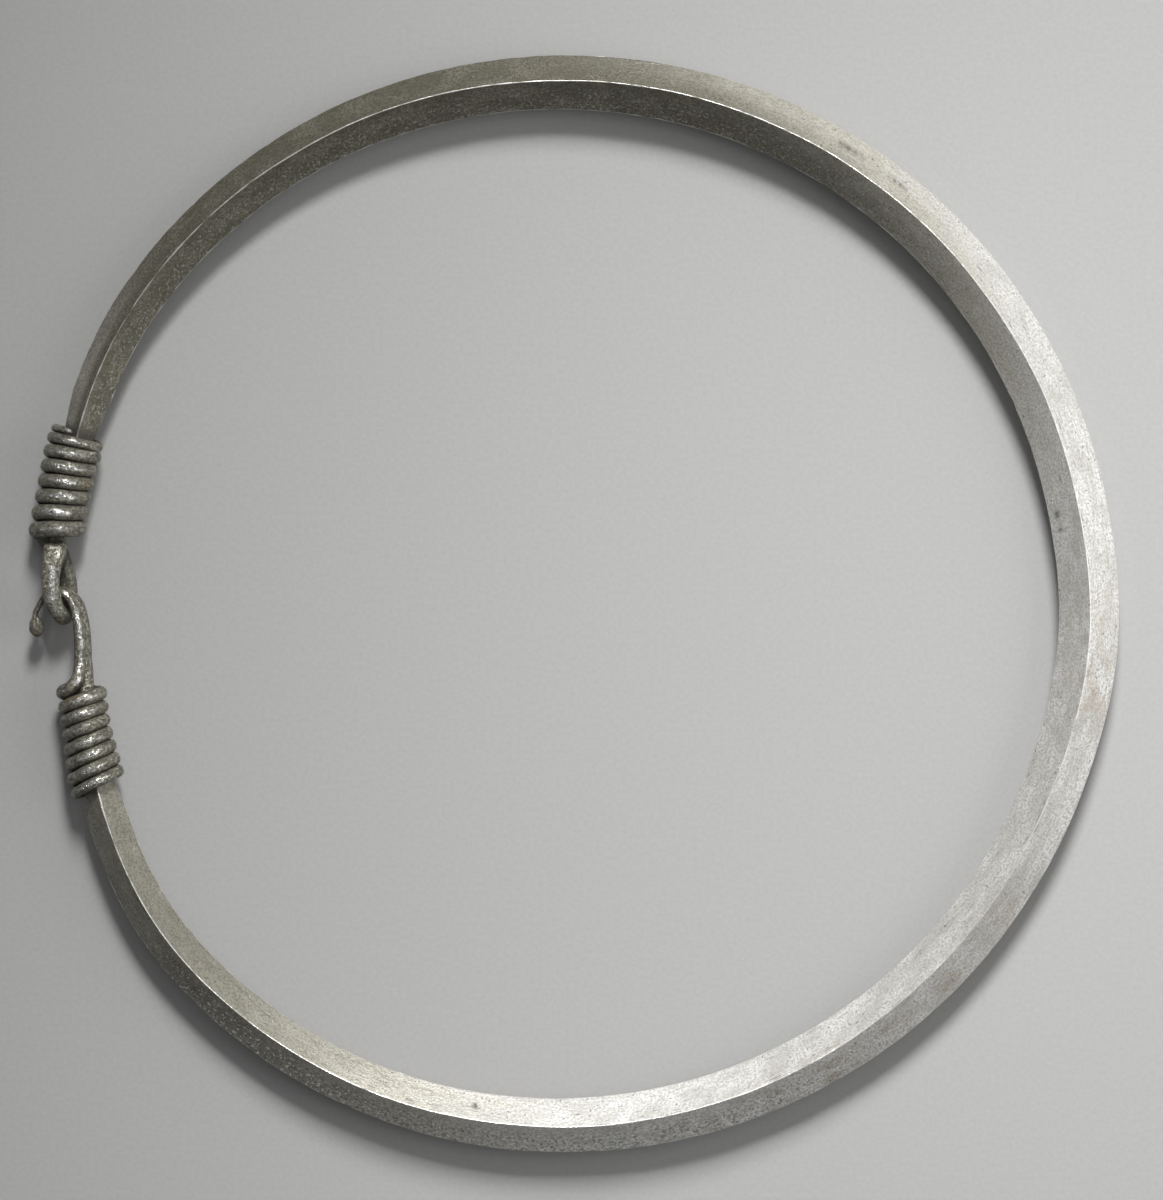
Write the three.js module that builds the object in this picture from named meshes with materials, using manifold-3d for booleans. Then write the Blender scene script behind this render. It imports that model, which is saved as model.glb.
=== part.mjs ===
// Neck ring of forged silver, lying flat with its clasp on the left.
// One square bar, set on edge, is bent into a hoop and tapers to both ends. Each end is drawn out into
// wire. One wire is bent into an eye and the other is doubled into a hook, and then each wire is wound
// back round the bar. The hook lies in the hoop's plane and catches the eye, which stands across it.
import * as THREE from "three";
import { mergeVertices } from "three/addons/utils/BufferGeometryUtils.js";
import Module from "manifold-3d";

// Driving dimensions in millimetres, and angles in degrees. An angle along the hoop is counted from the
// point opposite the clasp, positive towards the eye end and negative towards the hook end.
const HOOP = {
  centre: [-0.976, 0.177], // of the bend's circle, with the whole ring's middle at the origin
  radius: 77.85,
  backCorner: { rise: 0.55, at: -4, width: 11 }, // slight corner in the bend, opposite the clasp
  heightBack: 4.42, // centre of the bar above the table, opposite the clasp
  heightEnds: 4.28, // and at the clasp, where the windings rest on the table
  step: 3,
};
const BAR = {
  halfDiagonal: 4.46, // half the bar's width across its arrises, at its thickest
  taper: 1.54, // loss of half diagonal at the taper angle
  taperAngle: 160,
  taperPower: 2.35,
  blunt: 0.07, // width of the worn arris as a share of the bar's width
  neckBlunt: 0.16, // and inside the windings
};
const EYE_END = {
  shoulder: { rise: 0.8, at: 135, width: 38 }, // fuller bend before the clasp
  tuck: { depth: 1.05, from: 145, to: 168 }, // and the end drawn in from the circle
  neck: [
    [157, 2.92],
    [161, 2.35],
    [167, 1.8],
    [172, 1.45],
  ], // half diagonal of the bar inside its winding, by angle along the hoop
  coil: {
    start: 172.76, // angle along the hoop where the winding would begin
    phase: 260, // and its direction round the bar there, from the outside of the hoop
    sense: 1,
    leadIn: 0.24, // share of a turn before the wire has come in from the clasp
    turns: 7.47,
    wire: [2.3, 2.25, 2.08, 1.99, 1.94, 1.91, 1.87, 1.0], // thickness from the clasp to the tip
    radius: [2.95, 3.42],
  },
};
const HOOK_END = {
  shoulder: { rise: 0.9, at: 118, width: 40 },
  tuck: { depth: 4.12, from: 136, to: 175 },
  neck: [
    [156, 2.95],
    [159.5, 2.15],
    [164, 1.66],
    [169.6, 1.42],
  ],
  coil: {
    start: 170.28,
    phase: 90,
    sense: -1,
    leadIn: 0.12,
    turns: 7.6,
    wire: [2.1, 1.95, 1.94, 1.94, 1.94, 1.94, 1.9, 1.3],
    radius: [2.72, 3.38],
  },
};
const COIL = {
  gap: 0.13, // between one turn and the next
  squareness: 0.05, // how far the turns follow the square bar inside them
  stepsPerTurn: 18,
};

// The wire's route through the clasp, as points in the hoop's plane with heights above the bar's centre.
// The eye's route runs from inside its winding, forward, down, under the hook and up behind it.
const EYE_ROUTE = [
  [-76.75, 8.75, 0.6],
  [-76.75, 7.75, 1.9],
  [-77.05, 6.2, 2.6],
  [-77.35, 4.0, 2.75],
  [-77.25, 1.8, 2.75],
  [-76.75, -0.4, 2.45],
  [-76.05, -1.75, 1.6],
  [-75.7, -2.35, 0.2],
  [-75.6, -2.0, -1.3],
  [-75.4, -0.6, -2.45],
  [-75.3, 1.6, -2.88],
  [-75.55, 3.4, -2.88],
  [-76.05, 5.4, -2.92],
  [-76.95, 7.6, -3.05],
  [-78.4, 9.1, -2.4],
];
const EYE_WIRE = {
  halfWidth: [1.05, 1.68, 1.36, 1.26, 1.12, 1.15, 1.25, 1.2, 1.15],
  halfDepth: [1.05, 1.15, 1.05, 1.05, 1.0, 1.05, 1.05, 1.1, 1.15],
  steps: 36,
};
// The hook's route runs from its winding up and over to the tip. Its two strands lie one behind the other.
const HOOK_ROUTE = [
  [-72.85, -9.4],
  [-72.85, -6.1],
  [-73.2, -2.7],
  [-73.9, -0.2],
  [-75.0, 1.2],
  [-76.3, 1.75],
  [-77.7, 1.5],
  [-78.75, 0.55],
  [-79.45, -0.55],
  [-80.0, -1.75],
  [-79.85, -3.2],
];
const HOOK_FOOT = [-73.45, -11.6, 1.75]; // where the front strand leans over to start its winding
const HOOK_STRAND = {
  rise: [1.0, 0.95, 0.72, 0.44, 0.43], // height of each strand off the hook's middle, root to tip
  halfWidth: [0.95, 0.95, 0.8, 0.24, 0.42],
  halfDepth: [0.94, 0.89, 0.66, 0.36, 0.34],
  flare: { extra: 0.12, share: 0.12 }, // widening of the back strand where it leaves the bar
  sideStep: 0.3, // how far the front strand lies outside the back one at the root
  steps: 36,
};
const KNOB = { centre: [-79.77, -3.8, 0], radii: [1.07, 1.35, 1.1], rounds: [12, 8] };

const SILVER = new THREE.MeshStandardMaterial({ color: 0xb9b5aa, roughness: 0.42, metalness: 1 });
const rad = THREE.MathUtils.degToRad;
const smooth = THREE.MathUtils.smoothstep;
const mix = THREE.MathUtils.lerp;

const hump = (x, at, width) => Math.exp(-(((x - at) / width) ** 2));

// Value of a list of [place, value] pairs at a place between them.
function between(pairs, place) {
  const last = pairs.length - 1;
  if (place <= pairs[0][0]) return pairs[0][1];
  if (place >= pairs[last][0]) return pairs[last][1];
  const i = pairs.findIndex(([at]) => at > place);
  const [a, b] = [pairs[i - 1], pairs[i]];
  return mix(a[1], b[1], (place - a[0]) / (b[0] - a[0]));
}

// Value along a strand whose sizes are given at even steps from one end to the other.
function along(sizes, share) {
  return between(sizes.map((size, i) => [i / (sizes.length - 1), size]), share);
}

const endOf = (angle) => (angle >= 0 ? EYE_END : HOOK_END);

// Centre of the bar at an angle along the hoop.
function hoopPoint(angle) {
  const { shoulder, tuck } = endOf(angle);
  const turn = Math.abs(angle);
  const radius =
    HOOP.radius +
    HOOP.backCorner.rise * hump(angle, HOOP.backCorner.at, HOOP.backCorner.width) +
    shoulder.rise * hump(turn, shoulder.at, shoulder.width) -
    tuck.depth * smooth(turn, tuck.from, tuck.to);
  const height = mix(HOOP.heightBack, HOOP.heightEnds, smooth(turn, 100, 160));
  return new THREE.Vector3(radius * Math.cos(rad(angle)), radius * Math.sin(rad(angle)), height);
}

// Half diagonal of the bar at an angle along the hoop.
function barHalf(angle) {
  const turn = Math.abs(angle);
  const { neck } = endOf(angle);
  if (turn > neck[0][0]) return between(neck, turn);
  return BAR.halfDiagonal - BAR.taper * (turn / BAR.taperAngle) ** BAR.taperPower;
}

// A station is one cross-section on the way along the bar or wire: its centre, half sizes and bluntness.
const ROUND = Math.tan(rad(22.5));
const station = (centre, halfWidth, halfDepth = halfWidth, blunt = ROUND) => ({
  centre,
  halfWidth,
  halfDepth,
  blunt,
});

// Stations of the bar from the point opposite the clasp to the end of one neck.
function barStations(side, end) {
  const neckEnd = end.neck.at(-1)[0];
  const made = [];
  for (let turn = 0; turn < neckEnd; turn += HOOP.step) {
    const half = barHalf(side * turn);
    const blunt = mix(BAR.blunt, BAR.neckBlunt, smooth(turn, end.neck[0][0] - 2, neckEnd));
    made.push(station(hoopPoint(side * turn), half, half, blunt));
  }
  return made;
}

// Point of a winding's wire after a number of turns and an advance along the curved axis of the bar.
function coilPoint(side, coil, turns, advance) {
  const start = hoopPoint(side * coil.start);
  const passed = THREE.MathUtils.radToDeg(advance / Math.hypot(start.x, start.y));
  const axis = hoopPoint(side * (coil.start - passed));
  const out = new THREE.Vector3(axis.x, axis.y, 0).normalize();
  const phase = rad(coil.phase + coil.sense * 360 * turns);
  const radius =
    mix(coil.radius[0], coil.radius[1], smooth(turns / coil.turns, 0.3, 1)) *
    (1 - COIL.squareness * (1 - Math.cos(4 * phase)));
  axis.addScaledVector(out, radius * Math.cos(phase));
  axis.z += radius * Math.sin(phase);
  return axis;
}

// Stations of a winding, whose turns lie one thickness of wire and a gap apart.
function coilStations(side, coil) {
  const steps = Math.round((coil.turns - coil.leadIn) * COIL.stepsPerTurn);
  const step = (coil.turns - coil.leadIn) / steps;
  let advance = coil.leadIn * (coil.wire[0] + COIL.gap);
  const made = [];
  for (let i = 0; i <= steps; i++) {
    const wire = along(coil.wire, i / steps);
    made.push(station(coilPoint(side, coil, coil.leadIn + i * step, advance), wire / 2));
    advance += step * (wire + COIL.gap);
  }
  return made;
}

// Stations on a smooth line through given points. The first and last points only steer the line.
function routeStations(points, steps, sizesAt) {
  const line = new THREE.CatmullRomCurve3(points, false, "centripetal");
  const spans = points.length - 1;
  const made = [];
  for (let i = 1; i < steps; i++) {
    const share = i / steps;
    made.push(station(line.getPoint((1 + share * (spans - 2)) / spans), ...sizesAt(share)));
  }
  return made;
}

const inClasp = ([x, y, rise]) => new THREE.Vector3(x, y, HOOP.heightEnds + rise);

// Cross directions carried along the stations without twist, starting out from the hoop and up.
function carryFrames(stations, outward) {
  let previous = outward;
  return stations.map((at, i) => {
    const before = stations[Math.max(i - 1, 0)].centre;
    const after = stations[Math.min(i + 1, stations.length - 1)].centre;
    const ahead = after.clone().sub(before).normalize();
    const out = previous.clone().addScaledVector(ahead, -previous.dot(ahead)).normalize();
    previous = out;
    return { ...at, out, up: ahead.clone().cross(out) };
  });
}

// Closed skin over a run of stations: eight corners at each, and a flat end at both ends.
function skin(stations) {
  const corners = [];
  for (const [u, v] of [[1, 0], [0, 1], [-1, 0], [0, -1]]) {
    corners.push((blunt) => [u + v * blunt, v - u * blunt]);
    corners.push((blunt) => [u - v * blunt, v + u * blunt]);
  }
  const sides = corners.length;
  const positions = stations.flatMap(({ centre, out, up, halfWidth, halfDepth, blunt }) =>
    corners.flatMap((corner) => {
      const [u, v] = corner(blunt);
      const point = centre.clone().addScaledVector(out, u * halfWidth).addScaledVector(up, v * halfDepth);
      return [point.x, point.y, Math.max(point.z, 0)]; // the lowest arris is worn flat on the table
    }),
  );
  const faces = [];
  for (let ring = 0; ring + 1 < stations.length; ring++) {
    for (let side = 0; side < sides; side++) {
      const next = (side + 1) % sides;
      const [a, b] = [ring * sides + side, ring * sides + next];
      faces.push(a, b, b + sides, a, b + sides, a + sides);
    }
  }
  const last = (stations.length - 1) * sides;
  for (let side = 1; side + 1 < sides; side++) {
    faces.push(0, side + 1, side, last, last + side, last + side + 1);
  }
  return new THREE.BufferGeometry()
    .setAttribute("position", new THREE.Float32BufferAttribute(positions, 3))
    .setIndex(faces);
}

// The eye end, from the point opposite the clasp out to the tip of the winding's wire.
function eyeHalf() {
  const bar = barStations(1, EYE_END);
  const coil = coilStations(1, EYE_END.coil);
  const points = [
    bar.at(-2).centre,
    bar.at(-1).centre,
    ...EYE_ROUTE.map(inClasp),
    coil[0].centre,
    coil[1].centre,
  ];
  const eye = routeStations(points, EYE_WIRE.steps, (share) => [
    along(EYE_WIRE.halfWidth, share),
    along(EYE_WIRE.halfDepth, share),
  ]);
  return [...bar, ...eye, ...coil];
}

// One strand of the hook: the back one at side -1, the front one at side 1.
function hookPoint([x, y], i, side) {
  const share = i / (HOOK_ROUTE.length - 1);
  const outside = side * HOOK_STRAND.sideStep * (1 - share);
  return inClasp([x - outside, y, side * along(HOOK_STRAND.rise, share)]);
}

function hookSizes(share, flare) {
  const extra = flare * HOOK_STRAND.flare.extra * (1 - smooth(share, 0, HOOK_STRAND.flare.share));
  return [along(HOOK_STRAND.halfWidth, share) + extra, along(HOOK_STRAND.halfDepth, share)];
}

// The hook end's bar, drawn out into the hook's back strand, which ends inside the knob.
function hookHalf() {
  const bar = barStations(-1, HOOK_END);
  const strand = HOOK_ROUTE.map((point, i) => hookPoint(point, i, -1));
  const points = [bar.at(-2).centre, bar.at(-1).centre, ...strand, strand.at(-1)];
  return [...bar, ...routeStations(points, HOOK_STRAND.steps, (share) => hookSizes(share, 1))];
}

// The front strand, from inside the knob back to the winding of the hook end.
function frontStrand() {
  const coil = coilStations(-1, HOOK_END.coil);
  const strand = HOOK_ROUTE.map((point, i) => hookPoint(point, i, 1)).reverse();
  const points = [strand[0], ...strand, inClasp(HOOK_FOOT), coil[0].centre, coil[1].centre];
  return [...routeStations(points, HOOK_STRAND.steps, (share) => hookSizes(1 - share, 0)), ...coil];
}

function knob() {
  const [rounds, rows] = KNOB.rounds;
  const made = new THREE.SphereGeometry(1, rounds, rows);
  made.scale(...KNOB.radii);
  made.translate(...inClasp(KNOB.centre).toArray());
  return made;
}

const wasm = await Module();
wasm.setup();

function solidOf(geometry) {
  geometry.deleteAttribute("normal");
  geometry.deleteAttribute("uv");
  const merged = mergeVertices(geometry);
  return new wasm.Manifold(
    new wasm.Mesh({
      numProp: 3,
      vertProperties: merged.attributes.position.array,
      triVerts: new Uint32Array(merged.index.array),
    }),
  );
}

function geometryOf(solid) {
  const { vertProperties, triVerts } = solid.getMesh();
  return new THREE.BufferGeometry()
    .setAttribute("position", new THREE.BufferAttribute(new Float32Array(vertProperties), 3))
    .setIndex(new THREE.BufferAttribute(new Uint32Array(triVerts), 1));
}

// The bar runs from the tip of the eye end's wire, round the hoop, to the knob of the hook.
function wholeRing() {
  const outward = new THREE.Vector3(1, 0, 0);
  const toEye = carryFrames(eyeHalf(), outward);
  const toHook = carryFrames(hookHalf(), outward).map((at) => ({ ...at, up: at.up.negate() }));
  const bar = skin([...toHook.reverse(), ...toEye.slice(1)]);
  const front = skin(carryFrames(frontStrand(), new THREE.Vector3(0, 0, 1)));
  return geometryOf([bar, front, knob()].map(solidOf).reduce((whole, piece) => whole.add(piece)));
}

const ring = new THREE.Mesh(wholeRing(), SILVER);
ring.name = "neck_ring";
ring.position.set(HOOP.centre[0], HOOP.centre[1], 0);

const part = new THREE.Group();
part.add(ring);

export default part;
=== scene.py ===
import bpy
import numpy as np
from mathutils import Matrix, Vector, noise


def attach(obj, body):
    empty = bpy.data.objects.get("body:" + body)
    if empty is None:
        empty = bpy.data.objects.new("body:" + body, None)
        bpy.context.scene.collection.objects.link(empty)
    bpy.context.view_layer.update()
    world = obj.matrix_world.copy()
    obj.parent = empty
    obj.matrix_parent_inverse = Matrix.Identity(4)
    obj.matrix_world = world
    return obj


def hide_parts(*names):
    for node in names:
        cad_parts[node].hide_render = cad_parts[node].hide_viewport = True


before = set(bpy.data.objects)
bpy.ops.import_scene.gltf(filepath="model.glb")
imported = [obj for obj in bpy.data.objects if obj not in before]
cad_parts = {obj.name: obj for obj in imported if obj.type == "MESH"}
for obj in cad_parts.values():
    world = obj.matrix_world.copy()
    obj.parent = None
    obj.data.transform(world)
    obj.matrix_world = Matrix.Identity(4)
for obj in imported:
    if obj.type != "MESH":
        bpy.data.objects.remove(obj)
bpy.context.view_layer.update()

# The bar: forged from silver, square in section and set on edge, thickest opposite the clasp and drawn
# out towards both ends. It was hammered along its four faces and bent round into a hoop.

# Sizes are in millimetres about the middle of the hoop. Angles are in degrees from the point opposite
# the clasp, positive towards the eye end and negative towards the hook end.
HOOP_MIDDLE = np.array([-0.976, 0.177, 0.0])
MILLIMETRE = 0.001
HOOP_RADIUS = 77.85
# The hoop bulges a little opposite the clasp: height, angle and width.
BACK_CORNER = (0.55, -4, 11)
# The middle of the bar lies this high at the thick part and at the ends, and sinks between two angles.
BAR_HEIGHT = (4.42, 4.28)
BAR_SINKS = (100, 160)
# Half the bar's width, and its taper: what is lost, the angle where it is lost, and the curve's power.
BAR_HALF = 4.46
BAR_TAPER = (1.54, 160, 2.35)
BAR_STEP = 0.4
# Each arm bulges at its shoulder (height, angle, width), and is then tucked in (depth, from, to).
EYE_BEND = {"shoulder": (0.8, 135, 38), "tuck": (1.05, 145, 168)}
HOOK_BEND = {"shoulder": (0.9, 118, 40), "tuck": (4.12, 136, 175)}
# Angles and half widths of the neck at each end, which goes under the winding.
EYE_NECK = ((157, 161, 167, 172), (2.92, 2.35, 1.8, 1.45))
HOOK_NECK = ((156, 159.5, 164, 169.6), (2.95, 2.15, 1.66, 1.42))
# The neck grows rounder from a little before its start, and lies hidden, darkened with tarnish and painted
# shade, from a little past it.
NECK_ROUNDNESS = 0.6
ROUND_BEFORE_NECK = 2
HIDDEN_PAST_NECK = (2, 4.5)
FRONT = np.array([0.0, 0.0, 1.0])


def hump(x, height, at, width):
    return height * np.exp(-(((x - at) / width) ** 2))


def ease(x, start, end):
    t = np.clip((np.asarray(x, float) - start) / (end - start), 0, 1)
    return t * t * (3 - 2 * t)


def mix(a, b, share):
    return a + (b - a) * share


def along(sizes, share):
    return np.interp(share, np.linspace(0, 1, len(sizes)), sizes)


def hoop_point(angle):
    bend = EYE_BEND if angle >= 0 else HOOK_BEND
    turn = abs(angle)
    depth, start, end = bend["tuck"]
    radius = HOOP_RADIUS + hump(angle, *BACK_CORNER) + hump(turn, *bend["shoulder"])
    radius -= depth * ease(turn, start, end)
    height = mix(*BAR_HEIGHT, ease(turn, *BAR_SINKS))
    return np.array([radius * np.cos(np.radians(angle)), radius * np.sin(np.radians(angle)), height])


def bar_half(angle):
    places, halves = EYE_NECK if angle >= 0 else HOOK_NECK
    turn = abs(angle)
    if turn > places[0]:
        return np.interp(turn, places, halves)
    loss, at, power = BAR_TAPER
    return BAR_HALF - loss * (turn / at) ** power


# A station is one cross-section: its centre, half width and half depth, how round it is from 0 for the
# square bar to 1 for wire, the way its worn and highlighted side faces, how dark it is with tarnish and
# painted shade from lying hidden, and how far hammering has squared the wire.
def station(centre, half_width, half_depth, roundness, facing, hidden, squared=0):
    return np.concatenate([centre, [half_width, half_depth, roundness], facing, [hidden, squared]])


def bar_stations(side, neck, end):
    neck_start = neck[0][0]
    hidden_from, hidden_to = HIDDEN_PAST_NECK
    made = []
    for turn in np.linspace(0, end, round(end / BAR_STEP) + 1):
        half = bar_half(side * turn)
        roundness = NECK_ROUNDNESS * ease(turn, neck_start - ROUND_BEFORE_NECK, end)
        hidden = ease(turn, neck_start + hidden_from, neck_start + hidden_to)
        made.append(station(hoop_point(side * turn), half, half, roundness, FRONT, hidden))
    return made


# The windings: each end of the bar is drawn out into round wire, which comes back from the clasp and is
# wound tightly round the bar's neck, seven turns and a part, and then hammered down.

# A winding starts at an angle round the hoop, and its phase is an angle round the bar. The wire is given by
# its diameter along the winding.
EYE_WINDING = {
    "start": 172.76,
    "phase": 260,
    "sense": 1,
    "lead_in": 0.24,
    "turns": 7.51,
    "wire": (2.42, 2.36, 2.2, 2.1, 2.07, 1.95, 1.5, 0.9),
    "radius": (3.1, 3.62),
    "aside": 0.3,
}
HOOK_WINDING = {
    "start": 170.28,
    "phase": 90,
    "sense": -1,
    "lead_in": 0.12,
    "turns": 7.6,
    "wire": (2.1, 1.95, 1.94, 1.94, 1.94, 1.94, 1.9, 1.3),
    "radius": (2.8, 3.55),
    "aside": 0.12,
}
# The gap between turns, how far hammering spread the wire, where along it the winding widens to its
# second radius, and how squarely it lies on the bar.
WIRE_GAP = 0.13
WIRE_SPREAD = 0.04
WINDING_WIDENS = (0.3, 1)
WINDING_SQUARENESS = 0.05
STATIONS_PER_TURN = 64
# The last stations round off the wire's tip, which stays a little blunt.
ROUNDED_TIP = 6
TIP_BLUNTNESS = 0.3


def winding_stations(side, winding):
    start, turns, lead_in = winding["start"], winding["turns"], winding["lead_in"]
    reach = np.hypot(*hoop_point(side * start)[:2])
    steps = round((turns - lead_in) * STATIONS_PER_TURN)
    step = (turns - lead_in) / steps
    advance = lead_in * (winding["wire"][0] + WIRE_GAP)
    made = []
    for i in range(steps + 1):
        turn = lead_in + i * step
        wire = along(winding["wire"], i / steps)
        axis = hoop_point(side * (start - np.degrees(advance / reach)))
        out = axis * (1, 1, 0) / np.hypot(*axis[:2])
        phase = np.radians(winding["phase"] + winding["sense"] * 360 * turn)
        facing = out * np.cos(phase) + (0, 0, np.sin(phase))
        radius = mix(*winding["radius"], ease(turn / turns, *WINDING_WIDENS))
        radius *= 1 - WINDING_SQUARENESS * (1 - np.cos(4 * phase))
        half = wire / 2 + WIRE_SPREAD
        into_tip = max(0, (ROUNDED_TIP - steps + i) / (ROUNDED_TIP + TIP_BLUNTNESS))
        half *= np.sqrt(1 - into_tip**2)
        centre = axis + out * winding["aside"] + facing * radius
        made.append(station(centre, half, half, 1, facing, 1))
        advance += step * (wire + WIRE_GAP)
    return made


# The eye: the wire steps forward from under its winding, runs down in front of the hook, bends under it
# and goes up behind it to start the winding. It is flattened where it steps forward.

# Where the middle of the wire goes: x, y, and the rise above the middle of the bar's end.
EYE_ROUTE = (
    (-76.75, 8.75, 0.6),
    (-76.75, 7.75, 1.9),
    (-77.05, 6.2, 2.6),
    (-77.35, 4.0, 2.75),
    (-77.25, 1.8, 2.75),
    (-76.75, -0.4, 2.45),
    (-76.05, -1.75, 1.6),
    (-75.7, -2.35, 0.2),
    (-75.6, -2.0, -1.3),
    (-75.4, -0.6, -2.45),
    (-75.3, 1.6, -2.88),
    (-75.55, 3.4, -2.88),
    (-76.05, 5.4, -2.92),
    (-76.95, 7.6, -3.05),
    (-78.4, 9.1, -2.4),
)
EYE_HALF_WIDTH = (1.35, 1.75, 1.4, 1.28, 1.14, 1.2, 1.38, 1.35, 1.2)
EYE_HALF_DEPTH = (1.05, 1.15, 1.05, 1.05, 1.0, 1.05, 1.05, 1.1, 1.15)
EYE_SQUARED = (1.8, 1.8, 0.8, 0.6, 0.3, 0.6, 1.2, 0.8, 0)
EYE_BAR_ENDS = (168, 171)
EYE_STATIONS = 130
EYE_HIDDEN = 0.5
# The worn, highlighted side leans inward, and the step forward has less painted highlight up to these
# shares of the way.
EYE_LEAN = 0.2
EYE_STEP_HIGHLIGHT = 0.5
EYE_STEP_END = (0.12, 0.22)
# The wire is steered into a winding by the winding's first station and by one this many further on.
STEER_STEP = 3


def in_clasp(x, y, rise):
    return np.array([x, y, BAR_HEIGHT[1] + rise])


def into_winding(winding):
    return [at[:3] for at in winding[::STEER_STEP][:2]]


# Point on a smooth line through given points, at a share of the way from point i to the next one.
def on_line(points, i, share):
    before, start, end, after = points[i - 1 : i + 3]
    pairs = ((before, start), (start, end), (end, after))
    a, b, c = [np.linalg.norm(q - p) ** 0.5 for p, q in pairs]
    leave = b * ((start - before) / a - (end - before) / (a + b) + (end - start) / b)
    reach = b * ((end - start) / b - (after - start) / (b + c) + (after - end) / c)
    bend = 3 * (end - start) - 2 * leave - reach
    close = 2 * (start - end) + leave + reach
    return start + share * (leave + share * (bend + share * close))


# Shares and points along a route, whose first and last points only steer the line.
def route(points, steps):
    spans = len(points) - 3
    for k in range(1, steps):
        place = k / steps * spans
        yield k / steps, on_line(points, 1 + int(place), place - int(place))


def eye_stations(winding):
    points = [hoop_point(angle) for angle in EYE_BAR_ENDS]
    points += [in_clasp(*point) for point in EYE_ROUTE] + into_winding(winding)
    made = []
    for share, centre in route(points, EYE_STATIONS):
        facing = np.array([EYE_LEAN, 0, np.tanh(centre[2] - BAR_HEIGHT[1])])
        facing *= mix(EYE_STEP_HIGHLIGHT, 1, ease(share, *EYE_STEP_END)) / np.linalg.norm(facing)
        half_width, half_depth = along(EYE_HALF_WIDTH, share), along(EYE_HALF_DEPTH, share)
        squared = along(EYE_SQUARED, share)
        made.append(station(centre, half_width, half_depth, 1, facing, EYE_HIDDEN, squared))
    return made


# The hook: the other wire runs up, turns outward through the eye and thins to a tail. There it is folded
# back on itself, the fold hammered into a small knob, and the second strand runs down in front of the
# first, leans over and starts the winding.

# Where the middle of the two strands goes: x and y, with the rise of each strand listed after them.
HOOK_ROUTE = (
    (-72.85, -9.4),
    (-72.85, -6.1),
    (-73.2, -2.7),
    (-73.9, -0.2),
    (-75.0, 1.2),
    (-76.3, 1.75),
    (-77.7, 1.5),
    (-78.75, 0.55),
    (-79.45, -0.55),
    (-80.0, -1.75),
    (-79.85, -3.2),
)
HOOK_FOOT = (-73.45, -11.6, 1.75)
HOOK_RISE = (1.0, 0.95, 0.72, 0.44, 0.43)
HOOK_HALF_WIDTH = (0.95, 0.95, 0.8, 0.24, 0.42)
HOOK_HALF_DEPTH = (0.94, 0.89, 0.66, 0.36, 0.34)
# Extra half width at the foot of the back strand and of the front strand, and the shares it runs between.
HOOK_WEB = (0.7, 0.0, 0.13)
HOOK_FOOT_SPREAD = (0.2, 0.2, 0.03)
HOOK_SIDE_STEP = 0.3
HOOK_BAR_ENDS = (-165, -168)
HOOK_STATIONS = 84
# The tail starts at these shares of the way, and is darkened less than the strands with tarnish and
# painted shade.
HOOK_TAIL = (0.6, 0.7)
HOOK_HIDDEN = (0.85, 0.3)
# Front strand's worn side leans right so its painted highlight runs along it; the back strand's is
# weakened: less highlight, more painted shade.
FRONT_STRAND_FACING = np.array([0.3, 0, 0.954])
BACK_STRAND_FACING = 0.55 * np.array([0.5, 0, 0.866])


def hook_strand(side):
    points = []
    for i, (x, y) in enumerate(HOOK_ROUTE):
        share = i / (len(HOOK_ROUTE) - 1)
        outside = side * HOOK_SIDE_STEP * (1 - share)
        points.append(in_clasp(x - outside, y, side * along(HOOK_RISE, share)))
    return points + [2 * points[-1] - points[-2]]


def hook_station(centre, share, facing, extra):
    half_width = along(HOOK_HALF_WIDTH, share) + extra
    half_depth = along(HOOK_HALF_DEPTH, share)
    tail = ease(share, *HOOK_TAIL)
    return station(centre, half_width, half_depth, 1, facing * (1 - tail), mix(*HOOK_HIDDEN, tail))


def back_strand_stations():
    points = [hoop_point(angle) for angle in HOOK_BAR_ENDS] + hook_strand(-1)
    web, start, end = HOOK_WEB
    return [
        hook_station(centre, share, BACK_STRAND_FACING, web * (1 - ease(share, start, end)))
        for share, centre in route(points, HOOK_STATIONS)
    ]


def front_strand_stations(winding):
    points = hook_strand(1)[::-1] + [in_clasp(*HOOK_FOOT)] + into_winding(winding)
    spread, start, end = HOOK_FOOT_SPREAD
    return [
        hook_station(centre, 1 - share, FRONT_STRAND_FACING, spread * ease(1 - share, start, end))
        for share, centre in route(points, HOOK_STATIONS)
    ]


# The knob at the tip of the hook: the fold of the two strands, hammered into a small pear shape and left
# rough. It hangs from the thin tail, and no side of it carries wear or painted highlight.
KNOB_AXIS = ((-80.0, -1.75, 0), (-79.68, -5.18, 0))
KNOB_NECK = (0.32, 0.5, 0.76, 0.97, 1.08, 1.12)
KNOB_WIDEST = 0.56
KNOB_TIP_HALF = 0.02
KNOB_STATIONS = 26
KNOB_HIDDEN = 0.45


def knob_half(share):
    if share < KNOB_WIDEST:
        return along(KNOB_NECK, share / KNOB_WIDEST)
    below = (share - KNOB_WIDEST) / (1 - KNOB_WIDEST)
    return KNOB_NECK[-1] * np.sqrt(max(0, 1 - below**2)) + KNOB_TIP_HALF


def knob_stations():
    top, bottom = in_clasp(*KNOB_AXIS[0]), in_clasp(*KNOB_AXIS[1])
    made = []
    for share in np.sin(np.linspace(0, np.pi / 2, KNOB_STATIONS)):
        half = knob_half(share)
        made.append(station(mix(top, bottom, share), half, half, 1, np.zeros(3), KNOB_HIDDEN))
    return made


# The surface of the whole ring: arrises worn to a small radius, faces slightly uneven from the hammer,
# the wire flattened on its outside, and nicks, dents and stains where the years have left them.
ARRIS_RADIUS = 0.12
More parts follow.
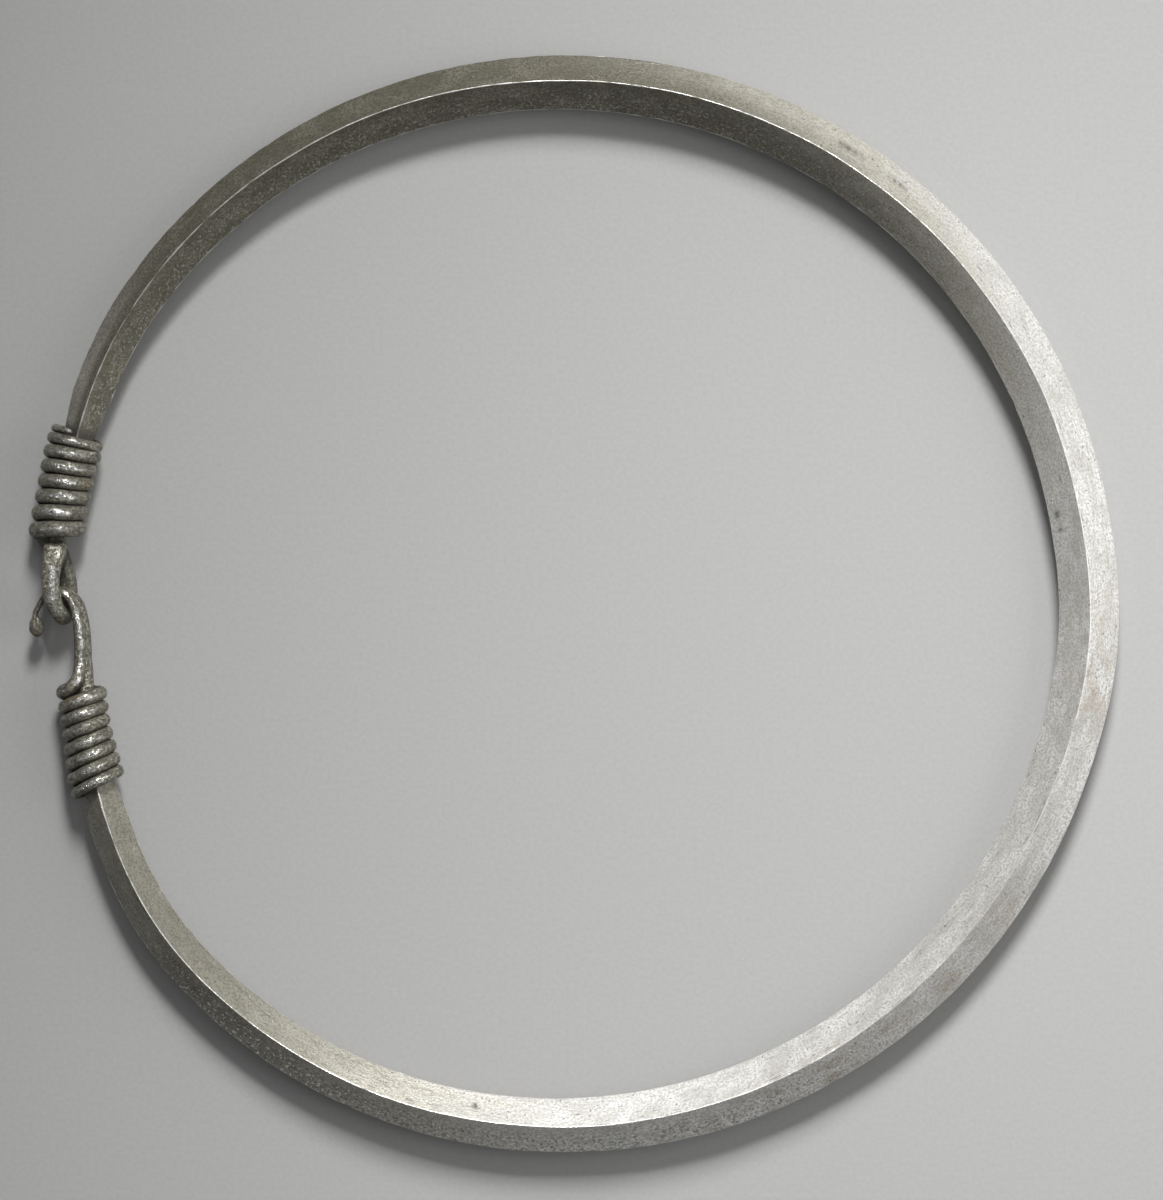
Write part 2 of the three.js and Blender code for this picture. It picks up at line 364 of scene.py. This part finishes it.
# Where a section's points lie between one arris and the next: close together near the arrises.
QUARTER = np.array([0, 0.8, 2, 7, 22, 45, 68, 83, 88, 89.2])
SQUARE_ANGLES = np.radians(np.concatenate([QUARTER + 90 * q for q in range(4)]))
SIDES = len(SQUARE_ANGLES)
ROUND_ANGLES = np.linspace(0, 2 * np.pi, SIDES, endpoint=False)
POINTS_SPREAD = (0.3, 1)
# The bar twists, by degrees, and swells, by a share of its size, over these lengths.
TWIST, TWIST_LENGTH = 2, 17
SMALL_TWIST, SMALL_TWIST_LENGTH = 0.7, 6
SWELL, SWELL_LENGTH = 0.006, 13
# Unevenness of the bar and the wire: how deep, and how long, wide and high one ripple is.
HAMMERED, HAMMERED_SIZE = 0.05, (8, 3, 3)
FINE, FINE_SIZE = 0.022, (2.2, 1.3, 1.3)
DIMPLED, DIMPLED_SIZE = 0.05, (1.4, 0.9, 0.9)
# The outside of the wire is hammered this flat, where it faces outward this far, and not evenly.
FLATTENED, FLATTENED_FACING = 0.06, (0.72, 1)
FLATTENED_SHARE, FLATTENED_VARIES = 0.75, 0.5
# Nicks along the arrises: how many, how long and deep, how far they reach round the arris, and after how
# many of their lengths they have faded.
NICKS = 150
NICK_LENGTHS = (0.3, 1.1)
NICK_DEPTHS = (0.03, 0.16)
NICK_DEPTH_POWER = 1.3
NICK_REACH = 0.45
NICK_FADES = 3
# Marks that catch the eye, in the hoop's plane on the side that lies upward: x, y, radius and depth.
MARKS = (
    (-77.0, 11.0, 0.5, 0.13),
    (-75.2, 10.1, 0.45, 0.12),
    (-73.4, 10.4, 0.4, 0.12),
    (-75.5, 13.2, 0.4, 0.08),
    (-74.0, 22.1, 0.35, 0.08),
    (-72.8, 23.6, 0.35, 0.12),
    (-70.9, 22.7, 0.75, -0.5),
    (-73.7, -14.3, 0.35, 0.12),
    (-72.6, -14.8, 0.3, 0.1),
    (-75.1, -15.2, 0.5, 0.12),
    (-71.6, -18.7, 0.3, 0.1),
    (-70.6, -20.2, 0.35, 0.1),
    (-44.2, 66.8, 0.45, 0.15),
    (-39.1, 68.8, 0.9, 0.08),
    (42.8, -66.1, 0.7, 0.1),
    (12.5, -79.9, 0.4, 0.1),
    (13.8, -80.7, 0.4, 0.1),
)
MARKS_FACING = (0, 0.5)
# Brown stains: x, y, radius and strength.
STAINS = (
    (79.8, -12.5, 5.0, 0.4),
    (80.0, -2.0, 4.0, 0.2),
    (65.8, -46.6, 3.2, 0.35),
    (58.0, -56.0, 3.2, 0.4),
    (49.6, -63.5, 3.2, 0.35),
    (40.3, -69.8, 3.2, 0.4),
    (30.2, -74.7, 3.2, 0.3),
    (-74.0, -14.8, 1.3, 0.9),
    (-71.9, 17.9, 0.7, 0.45),
    (-76.5, 19.2, 0.8, 0.5),
    (-79.7, -4.2, 1.4, 0.9),
    (-75.8, -3.0, 1.0, 0.8),
    (-71.5, 11.2, 0.7, 0.7),
)
# Dark spots and short dark streaks: x, y, radius and strength.
DARK_SPOTS = (
    (41.4, 68.5, 0.75, 0.65),
    (42.4, 67.9, 0.8, 0.75),
    (43.4, 67.3, 0.8, 0.7),
    (44.4, 66.6, 0.7, 0.5),
    (48.6, 63.5, 0.5, 0.65),
    (49.3, 62.9, 0.5, 0.75),
    (50.0, 62.3, 0.5, 0.75),
    (50.8, 61.7, 0.5, 0.7),
    (73.6, 13.2, 0.65, 0.75),
    (73.9, 10.9, 0.55, 0.7),
    (-13.5, -75.3, 0.45, 1.0),
)
# Wear and painted highlight: the worn bright band along an arris is this wide, and the wire is painted
# bright as wear and highlight where it faces outward and up.
ARRIS_BAND = 0.13
ARRIS_WORN, ARRIS_PATCHY = 0.72, 0.6
RIDGE_WEAR_AND_HIGHLIGHT, RIDGE_HIGHLIGHT_PATCHY, RIDGE_HIGHLIGHT_TOP = 0.36, 0.6, 0.42
WEAR_AND_HIGHLIGHT_FACING, RIDGE_FACING, HIGHLIGHT_UPWARD = (0.5, 1), (0.9, 1), (0.5, 0.95)
# The finish of the wire sets in with this roundness. Only full wire is left clean where it faces out, and
# is darkened with tarnish and painted shade at its sides and between the turns.
WIRE_FROM = (0.5, 1)
FULL_WIRE = 0.9
CLEAN_AND_UNSHADED_FACING = (-0.1, 0.85)
# The bar is clean opposite the clasp and turns olive between these angles, sooner on its inner side as
# painted shade, less at the hook end, and it is less olive, so lighter, again on the outside next to the
# eye's winding.
OLIVE_TO_EYE, OLIVE_TO_HOOK = (5, 95), (75, 140)
OLIVE_AND_SHADE_INNER_LEAD = 15
OLIVE_AT_HOOK = 0.75
LESS_OLIVE_OUTSIDE, LESS_OLIVE_ANGLES, LESS_OLIVE_FACING = 0.35, (135, 152), (0.2, 0.6)
# The outer face towards the hook is pitted between these angles, and the inner face towards the eye less.
# The pits there are darkened with painted shade and carry painted glints.
PITS_SHADED_FROM, PITS_SHADED_TO = (30, 75), (125, 150)
PITS_SHADED_INNER, PITS_SHADED_INNER_FROM = 0.25, (10, 60)
PITS_SHADED_FACING = (0.1, 0.5)


def ripples(places, size, seed):
    samples = (places / size + seed).reshape(-1, 3)
    return np.array([noise.noise(sample) for sample in samples.tolist()]).reshape(places.shape[:-1])


def wander(lengths, size, seed):
    return np.array([noise.noise((length / size, seed, seed * 0.7)) for length in lengths])


def spots(skin, listed):
    strengths = [
        strength * np.exp(-((np.hypot(skin[..., 0] - x, skin[..., 1] - y) / size) ** 2))
        for x, y, size, strength in listed
    ]
    return np.max(strengths, axis=0)


# Cross directions carried along the stations without twist.
def carried(centres, outward):
    ahead = np.gradient(centres, axis=0)
    ahead /= np.linalg.norm(ahead, axis=1)[:, None]
    out = np.empty_like(centres)
    before = np.array(outward, float)
    for i, way in enumerate(ahead):
        before = before - way * before.dot(way)
        before /= np.linalg.norm(before)
        out[i] = before
    return out, np.cross(ahead, out)


# Distance from the middle of a section to its skin: a square on edge with rounded arrises, up to a
# circle. Also how far each point is turned from the nearest arris.
def section(angles, half, radius):
    off = np.abs((angles + np.pi / 4) % (np.pi / 2) - np.pi / 4)
    inner = half - radius
    flat = (inner * np.sqrt(0.5) + radius) / np.cos(off - np.pi / 4)
    arc = inner * np.cos(off) + np.sqrt(np.maximum(radius**2 - (inner * np.sin(off)) ** 2, 0))
    turn = np.arctan2(radius * np.sqrt(0.5), inner + radius * np.sqrt(0.5))
    return np.where(off < turn, arc, flat), off


def cut_nicks(relief, lengths, angles, half, square, seed):
    random = np.random.default_rng(seed)
    for at, corner, long, depth in zip(
        random.uniform(lengths[0], lengths[-1], NICKS),
        random.integers(0, 4, NICKS),
        random.uniform(*NICK_LENGTHS, NICKS),
        random.uniform(*NICK_DEPTHS, NICKS) ** NICK_DEPTH_POWER,
    ):
        near = np.abs(lengths - at) < NICK_FADES * long
        from_corner = np.abs((angles[near] - corner * np.pi / 2 + np.pi) % (2 * np.pi) - np.pi)
        round_arris = from_corner * half[near] / NICK_REACH
        shape = np.exp(-(((lengths[near, None] - at) / long) ** 2) - round_arris**2)
        relief[near] -= depth * square[near] * shape


# The skin over a run of stations, and what the finish needs to know about each of its points.
def skinned(stations, out, up, length_from, seed):
    centres, half_width, half_depth = stations[:, :3], stations[:, 3:4], stations[:, 4:5]
    roundness, facing = stations[:, 5:6], stations[:, None, 6:9]
    hidden, squared = stations[:, 9:10], stations[:, 10:]
    square = 1 - roundness
    lengths = np.concatenate([[0], np.cumsum(np.linalg.norm(np.diff(centres, axis=0), axis=1))])
    lengths -= lengths[length_from]

    twist = TWIST * wander(lengths, TWIST_LENGTH, seed)
    twist = twist + SMALL_TWIST * wander(lengths, SMALL_TWIST_LENGTH, seed + 9)
    sway = np.radians(twist)[:, None] * square
    angles = mix(SQUARE_ANGLES, ROUND_ANGLES, ease(roundness, *POINTS_SPREAD)) + np.zeros_like(half_width)
    half = np.sqrt(half_width * half_depth)
    radius = mix(np.minimum(ARRIS_RADIUS, half), half, roundness)
    reach, off = section(angles, half, radius)
    reach = reach * (1 + SWELL * square * wander(lengths, SWELL_LENGTH, seed + 5)[:, None])
    power = 2 + squared
    reach = reach / (np.abs(np.cos(angles)) ** power + np.abs(np.sin(angles)) ** power) ** (1 / power)
    across = reach * np.cos(angles + sway)
    deep = reach * np.sin(angles + sway)
    ways = across[..., None] / reach[..., None] * out[:, None]
    ways = ways + deep[..., None] / reach[..., None] * up[:, None]
    upward, toward = ways[..., 2], (ways * facing).sum(-1)

    places = np.stack(np.broadcast_arrays(lengths[:, None], across, deep), -1)
    uneven = ripples(places, HAMMERED_SIZE, seed + 3)
    fine = ripples(places, FINE_SIZE, seed + 11)
    dimpled = ripples(places, DIMPLED_SIZE, seed + 23)
    flattened = FLATTENED * ease(toward, *FLATTENED_FACING)
    flattened = flattened * (FLATTENED_SHARE + FLATTENED_VARIES * fine)
    relief = square * (HAMMERED * uneven + FINE * fine)
    relief += roundness * (DIMPLED * dimpled - flattened)
    cut_nicks(relief, lengths, angles, half, square, seed)
    skin = centres[:, None] + (half_width / half * across)[..., None] * out[:, None]
    skin = skin + (half_depth / half * deep)[..., None] * up[:, None]
    for x, y, size, depth in MARKS:
        from_mark = np.hypot(skin[..., 0] - x, skin[..., 1] - y)
        relief -= depth * np.exp(-((from_mark / size) ** 2)) * ease(upward, *MARKS_FACING)
    skin = skin + relief[..., None] * ways
    skin[..., 2] = np.maximum(skin[..., 2], 0)

    arris = np.exp(-((off * half / ARRIS_BAND) ** 2)) * square
    ridge = RIDGE_WEAR_AND_HIGHLIGHT + RIDGE_HIGHLIGHT_PATCHY * dimpled + RIDGE_HIGHLIGHT_TOP * ease(toward, *RIDGE_FACING)
    wear_and_highlight = np.clip(arris * (ARRIS_WORN + ARRIS_PATCHY * fine), 0, 1)
    # The wire is painted bright where it faces out and up: wear and painted highlight.
    wear_and_highlight += roundness * ease(toward, *WEAR_AND_HIGHLIGHT_FACING) * ease(upward, *HIGHLIGHT_UPWARD) * ridge
    # Tarnish and painted shade: what lies hidden, and the sides of the wire, are darkened.
    dirt_and_shade = hidden * np.where(roundness > FULL_WIRE, 1 - ease(toward, *CLEAN_AND_UNSHADED_FACING), 1)
    dirt_and_shade = np.maximum(dirt_and_shade, spots(skin, DARK_SPOTS))
    wire = np.broadcast_to(ease(roundness, *WIRE_FROM), wear_and_highlight.shape)
    angle = np.degrees(np.arctan2(skin[..., 1], skin[..., 0]))
    inward = -(ways * skin * (1, 1, 0)).sum(-1) / np.hypot(skin[..., 0], skin[..., 1])
    # Olive patina, sooner on the inner side as painted shade, and less olive on the outside by the eye's
    # winding.
    olive_to_hook = OLIVE_AT_HOOK * ease(-angle, *OLIVE_TO_HOOK)
    olive_and_shade = np.maximum(ease(angle + OLIVE_AND_SHADE_INNER_LEAD * inward, *OLIVE_TO_EYE), olive_to_hook)
    olive_and_shade = olive_and_shade - LESS_OLIVE_OUTSIDE * ease(angle, *LESS_OLIVE_ANGLES) * ease(-inward, *LESS_OLIVE_FACING)
    # Pits on these faces carry painted shade and painted glints.
    pits_with_shade_and_glints = (ease(-angle, *PITS_SHADED_FROM) - ease(-angle, *PITS_SHADED_TO)) * ease(-inward, *PITS_SHADED_FACING)
    inner_pits_with_shade_and_glints = PITS_SHADED_INNER * ease(angle, *PITS_SHADED_INNER_FROM) * ease(inward, *PITS_SHADED_FACING)
    return skin, {
        "run": places * MILLIMETRE,
        "wear_and_highlight": wear_and_highlight,
        "dirt_and_shade": dirt_and_shade,
        "stain": spots(skin, STAINS),
        "wire": wire,
        "olive_and_shade": olive_and_shade,
        "pits_with_shade_and_glints": square * np.maximum(pits_with_shade_and_glints, inner_pits_with_shade_and_glints),
    }


eye_winding = winding_stations(1, EYE_WINDING)
hook_winding = winding_stations(-1, HOOK_WINDING)
eye_bar = bar_stations(1, EYE_NECK, EYE_BAR_ENDS[1])
hook_bar = bar_stations(-1, HOOK_NECK, -HOOK_BAR_ENDS[1])
to_eye = np.array(eye_bar + eye_stations(eye_winding) + eye_winding)
to_hook = np.array(hook_bar + back_strand_stations())
front = np.array(front_strand_stations(hook_winding) + hook_winding)
knob = np.array(knob_stations())

eye_out, eye_up = carried(to_eye[:, :3], (1, 0, 0))
hook_out, hook_up = carried(to_hook[:, :3], (1, 0, 0))
whole = np.concatenate([to_hook[:0:-1], to_eye])
whole_out = np.concatenate([hook_out[:0:-1], eye_out])
whole_up = np.concatenate([-hook_up[:0:-1], eye_up])
runs = [
    skinned(whole, whole_out, whole_up, length_from=len(to_hook) - 1, seed=1),
    skinned(front, *carried(front[:, :3], FRONT), length_from=0, seed=2),
    skinned(knob, *carried(knob[:, :3], FRONT), length_from=0, seed=4),
]

points, faces = [], []
for skin, _ in runs:
    first = sum(len(part) for part in points)
    rows = len(skin)
    grid = first + np.arange(rows * SIDES).reshape(rows, SIDES)
    beside = np.roll(grid, -1, axis=1)
    faces += np.stack([grid[:-1], beside[:-1], beside[1:], grid[1:]], -1).reshape(-1, 4).tolist()
    faces += [grid[0, ::-1].tolist(), grid[-1].tolist()]
    points.append(skin.reshape(-1, 3))

mesh = bpy.data.meshes.new("ring")
mesh.from_pydata(((np.concatenate(points) + HOOP_MIDDLE) * MILLIMETRE).tolist(), [], faces)
for name in ("run", "wear_and_highlight", "dirt_and_shade", "stain", "wire", "olive_and_shade", "pits_with_shade_and_glints"):
    values = np.concatenate([made[name].reshape(len(part), -1) for part, (_, made) in zip(points, runs)])
    kind, field = ("FLOAT_VECTOR", "vector") if name == "run" else ("FLOAT", "value")
    mesh.attributes.new(name, kind, "POINT").data.foreach_set(field, values.astype(np.float32).ravel())
mesh.shade_smooth()
ring = bpy.data.objects.new("ring", mesh)
bpy.context.scene.collection.objects.link(ring)

# The finish: old silver, pale and a little warm opposite the clasp, beige and then olive towards the ends,
# and grey-brown on the drawn wire. Arrises are rubbed bright, and the tops of the turns are painted bright
# as wear and highlight; glints and sparkles are painted highlights. What lies between the turns and at
# their sides is darkened with tarnish and painted shade. Paired colours are mixed by a pattern.
PALE = ((0.65, 0.635, 0.597, 1), (0.83, 0.824, 0.803, 1))
PALE_GRAIN = (0.46, 0.446, 0.41, 1)
PALE_STREAK = (0.8, 0.79, 0.765, 1)
PALE_GLINT = (0.93, 0.925, 0.9, 1)
BEIGE = ((0.575, 0.554, 0.487, 1), (0.385, 0.368, 0.313, 1))
OLIVE = ((0.142, 0.134, 0.097, 1), (0.218, 0.208, 0.162, 1))
OLIVE_GRAIN = (0.085, 0.08, 0.057, 1)
OLIVE_GLINT = (0.55, 0.545, 0.5, 1)
DRAWN_WIRE = ((0.345, 0.334, 0.276, 1), (0.165, 0.157, 0.12, 1))
SHADED_PIT = (0.12, 0.114, 0.092, 1)
SPARKLE = (0.9, 0.895, 0.87, 1)
BROWN = (0.33, 0.235, 0.145, 1)
TARNISHED_AND_SHADED = (0.066, 0.061, 0.046, 1)
PIT = (0.12, 0.105, 0.08, 1)
SCRATCH = (0.16, 0.15, 0.12, 1)
RUBBED_AND_HIGHLIGHT = (0.86, 0.85, 0.81, 1)
CREVICE = (0.062, 0.058, 0.041, 1)
# Patterns of the metal, in spots to the metre along the bar, across it and deep.
CLOUDS = (220, 420, 420)
BLOTCHES = (330, 500, 500)
STREAKS = (380, 3000, 3000)
GRAINS = (2700, 2700, 2700)
SPECKS = (1900, 1900, 1900)
PITS = (1900, 1900, 1900)
GLINTS = (3300, 3300, 3300)
SHADED_PITS = (2000, 2000, 2000)
SPARKLES = (2300, 2300, 2300)
SCRATCHES, SCRATCHES_TURNED = (260, 5200, 5200), (0.3, 0.4, 1.1)
CLOUDED, GRAINED = (0.35, 0.65), (0.42, 0.6)
BUMP_STRENGTH, BUMP_DISTANCE = 0.8, 0.0001


# A value or colour on its way through a finish. Sums on values add Math nodes.
class Tone:
    tree = None

    def __init__(self, socket):
        self.socket = socket

    @classmethod
    def node(cls, kind, settings=None, sockets=None, out=0):
        made = cls.tree.nodes.new(kind)
        for name, value in (settings or {}).items():
            setattr(made, name, value)
        for name, value in (sockets or {}).items():
            if isinstance(value, Tone):
                cls.tree.links.new(value.socket, made.inputs[name])
            else:
                made.inputs[name].default_value = value
        return cls(made.outputs[out]) if made.outputs else made

    @classmethod
    def sum(cls, operation, a, b):
        return cls.node("ShaderNodeMath", {"operation": operation}, {0: a, 1: b})

    def __add__(self, other):
        return Tone.sum("ADD", self, other)

    def __radd__(self, other):
        return Tone.sum("ADD", other, self)

    def __sub__(self, other):
        return Tone.sum("SUBTRACT", self, other)

    def __rsub__(self, other):
        return Tone.sum("SUBTRACT", other, self)

    def __mul__(self, other):
        return Tone.sum("MULTIPLY", self, other)

    def __rmul__(self, other):
        return Tone.sum("MULTIPLY", other, self)

    def rise(self, low, high):
        limits = {"Value": self, "From Min": low, "From Max": high}
        return Tone.node("ShaderNodeMapRange", {"interpolation_type": "SMOOTHSTEP"}, limits)

    def stretched(self, *scale):
        return Tone.node("ShaderNodeVectorMath", {"operation": "MULTIPLY"}, {0: self, 1: scale})

    def colour(self, low, high):
        return Tone.node("ShaderNodeMix", {"data_type": "RGBA"}, {0: self, 6: low, 7: high}, 2)


def mottle(places, detail, roughness=0.5, scale=1):
    sockets = {"Vector": places, "Scale": scale, "Detail": detail, "Roughness": roughness}
    return Tone.node("ShaderNodeTexNoise", {}, sockets)


def new_finish(name):
    finish = bpy.data.materials.new(name)
    finish.use_nodes = True
    finish.node_tree.nodes.clear()
    Tone.tree = finish.node_tree
    return finish


silver = new_finish("silver")
run = Tone.node("ShaderNodeAttribute", {"attribute_name": "run"}, out="Vector")
wear_and_highlight, dirt_and_shade, stain, wire, olive_and_shade, pits_with_shade_and_glints = [
    Tone.node("ShaderNodeAttribute", {"attribute_name": name}, out="Fac")
    for name in ("wear_and_highlight", "dirt_and_shade", "stain", "wire", "olive_and_shade", "pits_with_shade_and_glints")
]
cloud = mottle(run.stretched(*CLOUDS), 4)
grain = mottle(run.stretched(*GRAINS), 3, 0.65)
streak = mottle(run.stretched(*STREAKS), 3, 0.6)
speck = mottle(run.stretched(*SPECKS), 3, 0.6)
pit = mottle(run.stretched(*PITS), 1).rise(0.69, 0.78)
glint = mottle(run.stretched(*GLINTS), 1).rise(0.68, 0.78)
blotch = mottle(run.stretched(*BLOTCHES), 3)
slanted = {"Vector": run, "Rotation": SCRATCHES_TURNED, "Scale": SCRATCHES}
scratch = mottle(Tone.node("ShaderNodeMapping", {}, slanted), 1).rise(0.66, 0.73)
# Pits on the chosen faces: relief, darkened with painted shade, with painted glints on them.
shaded_pit = pits_with_shade_and_glints * mottle(run.stretched(*SHADED_PITS), 2).rise(0.5, 0.62)
sparkle = pits_with_shade_and_glints * mottle(run.stretched(*SPARKLES), 1).rise(0.58, 0.68)

clean = cloud.rise(*CLOUDED).colour(*PALE)
clean = (grain.rise(*GRAINED) * 0.8).colour(clean, PALE_GRAIN)
clean = (streak.rise(0.52, 0.68) * 0.3).colour(clean, PALE_STREAK)
# Painted glints: bright specks of reflected light.
clean = (glint * 0.5).colour(clean, PALE_GLINT)
beige = (grain.rise(*GRAINED) * 0.8).colour(*BEIGE)
dull = cloud.rise(*CLOUDED).colour(*OLIVE)
dull = (grain.rise(*GRAINED) * 0.75).colour(dull, OLIVE_GRAIN)
# Painted glints on the olive silver.
dull = (glint * 0.6).colour(dull, OLIVE_GLINT)
drawn = speck.rise(0.4, 0.6).colour(*DRAWN_WIRE)
# Olive patina, with painted shade where it comes sooner on the bar's inner side.
aged_and_shaded = olive_and_shade + 0.5 * (cloud - 0.5)
# Tarnish and painted shade darken what lies hidden and the sides of the wire.
tarnish_and_shade = (dirt_and_shade * (0.75 + 0.5 * blotch)).rise(0.05, 0.95)
# Wear on the arrises and painted highlight on the tops of the turns.
rubbed_and_highlight = (wear_and_highlight * (0.55 + 0.9 * streak)).rise(0.25, 0.85) * (1 - 0.65 * tarnish_and_shade)
crevice = wire * grain.rise(0.48, 0.58)

body = aged_and_shaded.rise(0.05, 0.45).colour(clean, beige)
body = aged_and_shaded.rise(0.25, 1).colour(body, dull)
# Painted shade in pits and painted glints.
body = (shaded_pit * 0.5).colour(body, SHADED_PIT)
body = (sparkle * 0.8).colour(body, SPARKLE)
body = wire.colour(body, drawn)
body = (stain * blotch.rise(0.38, 0.62)).colour(body, BROWN)
# Tarnish and painted shade.
body = tarnish_and_shade.colour(body, TARNISHED_AND_SHADED)
body = (pit * 0.8).colour(body, PIT)
body = (scratch * 0.55).colour(body, SCRATCH)
# Rubbed bright wear and painted highlight.
body = rubbed_and_highlight.colour(body, RUBBED_AND_HIGHLIGHT)
body = (crevice * 0.8).colour(body, CREVICE)
roughness = 0.47 + 0.16 * (cloud - 0.5) + 0.3 * (grain - 0.5)
roughness = roughness - 0.19 * wire + 0.2 * tarnish_and_shade + 0.12 * stain
roughness = roughness - 0.14 * rubbed_and_highlight + 0.15 * crevice
metal = 0.55 + 0.4 * rubbed_and_highlight - 0.3 * tarnish_and_shade - 0.25 * crevice
height = grain * 0.8 + streak * 0.3 + speck * 0.5 - pit * 0.9 - scratch * 0.6
height = height + wire * (blotch * 0.8 + speck * 1.6) - crevice * 0.9 - shaded_pit * 0.8
relief = {"Strength": BUMP_STRENGTH, "Distance": BUMP_DISTANCE, "Height": height}
bumps = Tone.node("ShaderNodeBump", {}, relief)
surface = Tone.node(
    "ShaderNodeBsdfPrincipled",
    {},
    {"Base Color": body, "Metallic": metal, "Roughness": roughness, "Normal": bumps},
)
Tone.node("ShaderNodeOutputMaterial", {}, {"Surface": surface})
mesh.materials.append(silver)

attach(ring, "root")
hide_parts("neck_ring")

# The floor: a plain pale sheet of paper that the ring lies on, with the faint unevenness of its fibres.
# It is laid just under the ring, and is no part of the object.
FLOOR_HALF = 4.0
FLOOR_LEVEL = -0.00002
PALE_PAPER = ((0.365, 0.363, 0.357, 1), (0.395, 0.393, 0.387, 1))
PAPER_ROUGHNESS = 0.85
FIBRE_SCALE = 1500
FIBRE_STRENGTH, FIBRE_DISTANCE = 0.15, 0.0001
floor_mesh = bpy.data.meshes.new("floor")
corners = [(-1, -1), (1, -1), (1, 1), (-1, 1)]
floor_points = [(x * FLOOR_HALF, y * FLOOR_HALF, FLOOR_LEVEL) for x, y in corners]
floor_mesh.from_pydata(floor_points, [], [(0, 1, 2, 3)])
floor = bpy.data.objects.new("floor", floor_mesh)
bpy.context.scene.collection.objects.link(floor)
paper = new_finish("pale_paper")
place = Tone.node("ShaderNodeTexCoord", out="Object")
fibre = mottle(place, 3, scale=FIBRE_SCALE)
tint = fibre.rise(0.2, 0.8).colour(*PALE_PAPER)
fibres = {"Strength": FIBRE_STRENGTH, "Distance": FIBRE_DISTANCE, "Height": fibre}
paper_bumps = Tone.node("ShaderNodeBump", {}, fibres)
sheet = Tone.node(
    "ShaderNodeBsdfPrincipled",
    {},
    {"Base Color": tint, "Roughness": PAPER_ROUGHNESS, "Normal": paper_bumps},
)
Tone.node("ShaderNodeOutputMaterial", {}, {"Surface": sheet})
floor_mesh.materials.append(paper)

# Light: a soft key lamp from above the top of the picture, aimed at the thick side of the ring, a wide
# soft lamp from the right, a weak one overhead, and a faint even glow from all round.
KEY_PLACE, KEY_AIM = (0.12, 0.66, 0.65), (0.09, -0.07, 0)
KEY_WATTS, KEY_SIZE, KEY_CONE = 58, 0.15, 36
ROOM_COLOUR, ROOM_STRENGTH = (0.95, 0.97, 1, 1), 0.11


def hung(light, place, aim):
    made = bpy.data.objects.new(light.name, light)
    made.location = place
    made.rotation_mode = "QUATERNION"
    made.rotation_quaternion = (Vector(aim) - Vector(place)).to_track_quat("-Z", "Y")
    bpy.context.scene.collection.objects.link(made)


def lamp(name, place, aim, size, watts):
    light = bpy.data.lights.new(name, "AREA")
    light.shape = "DISK"
    light.size = size
    light.energy = watts
    hung(light, place, aim)


key = bpy.data.lights.new("key", "SPOT")
key.energy = KEY_WATTS
key.shadow_soft_size = KEY_SIZE
key.spot_size = np.radians(KEY_CONE)
key.spot_blend = 1
hung(key, KEY_PLACE, KEY_AIM)
lamp("side", place=(0.75, 0.02, 0.42), aim=(0.02, -0.02, 0), size=0.8, watts=3.2)
lamp("overhead", place=(0.1, 0.1, 1.4), aim=(0, 0, 0), size=1.2, watts=2.4)
bpy.context.scene.view_settings.view_transform = "Standard"
room = bpy.data.worlds.new("room")
room.use_nodes = True
room.node_tree.nodes.clear()
Tone.tree = room.node_tree
glow = Tone.node("ShaderNodeBackground", {}, {"Color": ROOM_COLOUR, "Strength": ROOM_STRENGTH})
Tone.node("ShaderNodeOutputWorld", {}, {"Surface": glow})
bpy.context.scene.world = room

# Camera: a long lens a metre above the ring, almost straight over it. It stands a little to the thick
# side, so that the inner and outer faces show as wide as they do in the photograph.
CAMERA_AIM = Vector((0.00143, 0.00058, 0.0044))
CAMERA_LEAN = (3.0, 0.28)
CAMERA_DISTANCE = 1.0
CAMERA_LENS, CAMERA_SENSOR = 200, 36
lens = bpy.data.cameras.new("camera")
lens.lens = CAMERA_LENS
lens.sensor_width = CAMERA_SENSOR
lens.clip_start, lens.clip_end = 0.05, 20
camera = bpy.data.objects.new("camera", lens)
back = Vector((*np.tan(np.radians(CAMERA_LEAN)), 1)).normalized()
right = Vector((0, 1, 0)).cross(back).normalized()
above = back.cross(right)
turned = Matrix((right, above, back)).transposed().to_4x4()
camera.matrix_world = Matrix.Translation(CAMERA_AIM + back * CAMERA_DISTANCE) @ turned
bpy.context.scene.collection.objects.link(camera)
bpy.context.scene.camera = camera
